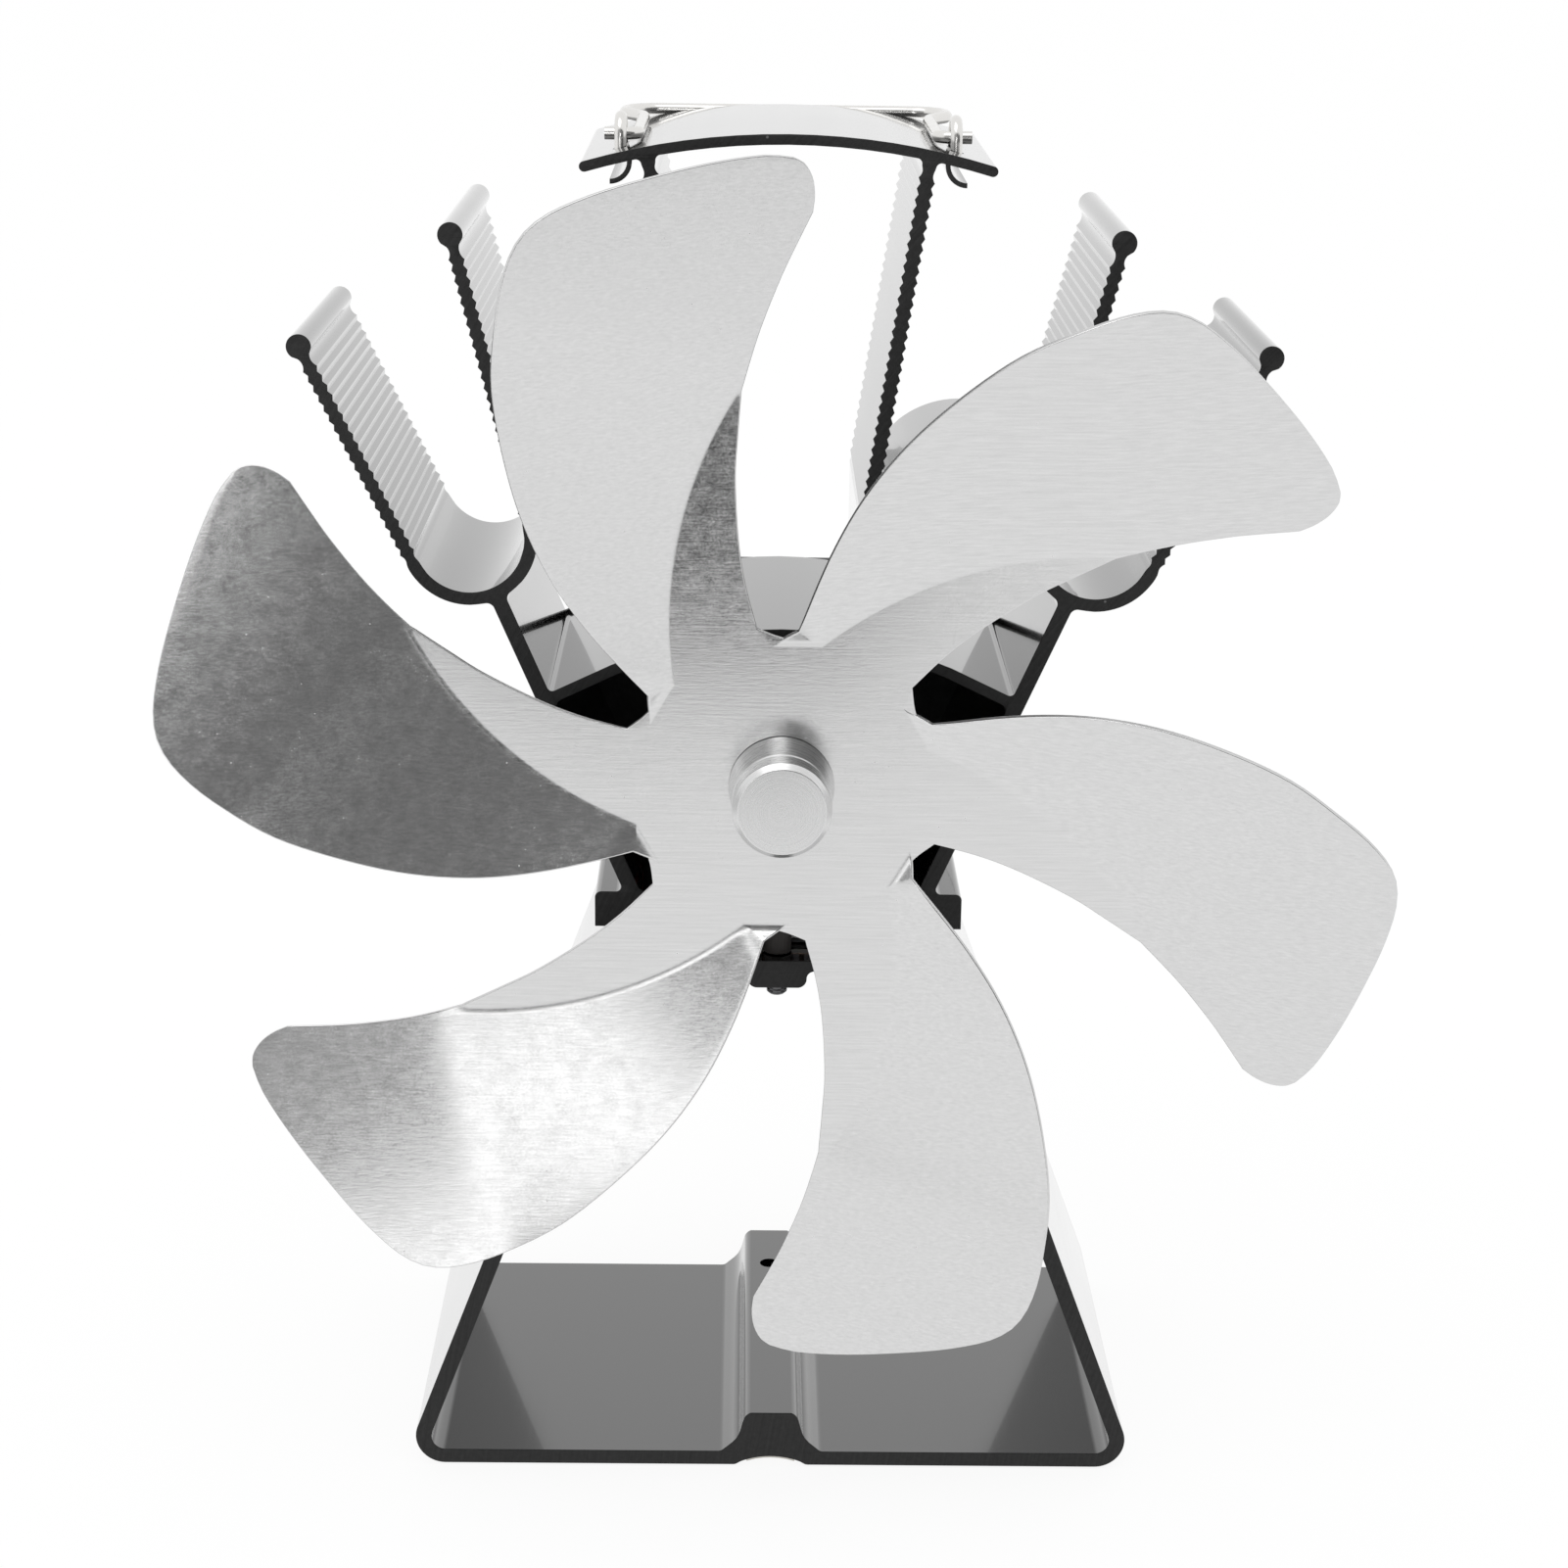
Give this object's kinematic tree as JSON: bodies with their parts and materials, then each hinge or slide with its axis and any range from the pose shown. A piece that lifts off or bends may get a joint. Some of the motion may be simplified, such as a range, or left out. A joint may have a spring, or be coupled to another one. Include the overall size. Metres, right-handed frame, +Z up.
{
  "type": "heat-powered stove fan",
  "caption": "Black finned aluminium stand that rests on a hot stove, with a pitched sheet impeller in front turned by a motor, and a folding wire bail on top.",
  "frame": {"origin": "middle of the overall box's footprint, on the plane that the base stands on", "axes": "+Z up through the heat sink, X across the fan, -Y to the front where the impeller turns"},
  "size_m": [0.2234, 0.1202, 0.2698],
  "materials": {
    "black_anodised": "glossy black anodised extrusion, sawn ends",
    "brushed_aluminium": "brushed sheet",
    "turned_aluminium": "turned",
    "stainless_wire": "bright drawn wire",
    "bright_steel": "zinc-plated",
    "black_steel": "satin black",
    "bimetal": "rolled strip",
    "ceramic": "white alumina",
    "module_core": "thermoelectric legs and sealant",
    "graphite": "graphite pad",
    "black_polymer": "moulded",
    "ferrite": "ground ferrite",
    "copper": "wound copper on a laminated core",
    "bronze": "sintered bronze",
    "tinned_brass": "tinned",
    "red_lead": "flexible cover",
    "black_lead": "flexible cover"
  },
  "bodies": {
    "stand": {"base_extrusion": "black_anodised", "bimetal_strip": "bimetal", "strip_rivet": "bright_steel", "module_pad_hot": "graphite", "module_plate_hot": "ceramic", "module_core": "module_core", "module_plate_cold": "ceramic", "module_pad_cold": "graphite", "heat_sink_extrusion": "black_anodised", "clamp_screw_front": "bright_steel", "clamp_bush_front": "black_polymer", "clamp_washer_front": "bright_steel", "clamp_screw_rear": "bright_steel", "clamp_bush_rear": "black_polymer", "clamp_washer_rear": "bright_steel", "motor_bracket": "black_steel", "motor_screw_left": "bright_steel", "bracket_screw_left": "bright_steel", "motor_screw_right": "bright_steel", "bracket_screw_right": "bright_steel", "motor_can": "bright_steel", "bearing_front": "bronze", "motor_end_cap": "black_polymer", "bearing_rear": "bronze", "magnet_upper": "ferrite", "magnet_lower": "ferrite", "motor_terminal_left": "tinned_brass", "motor_terminal_right": "tinned_brass", "rear_cover": "black_steel", "cover_screw_left": "bright_steel", "cover_screw_right": "bright_steel", "lead_red": "red_lead", "lead_black": "black_lead", "bail_staple_left": "stainless_wire", "bail_staple_right": "stainless_wire"},
    "rotor": {"impeller": "brushed_aluminium", "hub_knob": "turned_aluminium", "hub_collar": "turned_aluminium", "hub_set_screw": "black_steel", "motor_shaft": "bright_steel", "motor_armature": "copper"},
    "bail": {"bail_handle": "stainless_wire"}
  },
  "joints": [
    {"name": "fan_spin", "type": "hinge", "parent": "stand", "child": "rotor", "pos_m": [0, -0.04443, 0.1515], "axis": [0, -1, 0], "continuous": true},
    {"name": "bail_lift", "type": "hinge", "parent": "stand", "child": "bail", "pos_m": [0, -0.01243, 0.2657], "axis": [1, 0, 0], "range_deg": [0, 105]}
  ]
}
